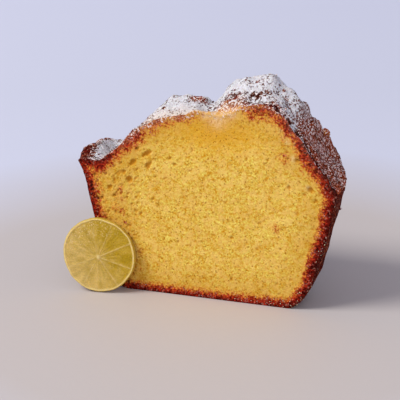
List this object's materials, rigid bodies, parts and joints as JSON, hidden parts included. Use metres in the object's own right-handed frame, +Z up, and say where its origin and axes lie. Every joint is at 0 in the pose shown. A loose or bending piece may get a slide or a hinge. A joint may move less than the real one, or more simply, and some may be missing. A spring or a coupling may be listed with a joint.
{
  "type": "lemon loaf cake end piece",
  "caption": "End piece of a domed lemon loaf cake with a flat cut face, a cracked and dusted crust, and a round citrus slice leaning on the cut.",
  "frame": {"origin": "on the flat bottom of the cake, half-way across, 15 mm behind the cut face", "axes": "+Z up, -Y out of the cut face, +Y towards the end wall of the loaf, +X to the right when looking at the cut face"},
  "size_m": [0.1288, 0.0603, 0.1038],
  "materials": {
    "cake": "golden crumb with a baked brown crust and a dusting of white sugar, matt",
    "lemon_slice": "moist translucent yellow-green pulp with a thin pale rind"
  },
  "bodies": {
    "root": {"cake": "cake", "lemon_slice": "lemon_slice"}
  },
  "joints": []
}
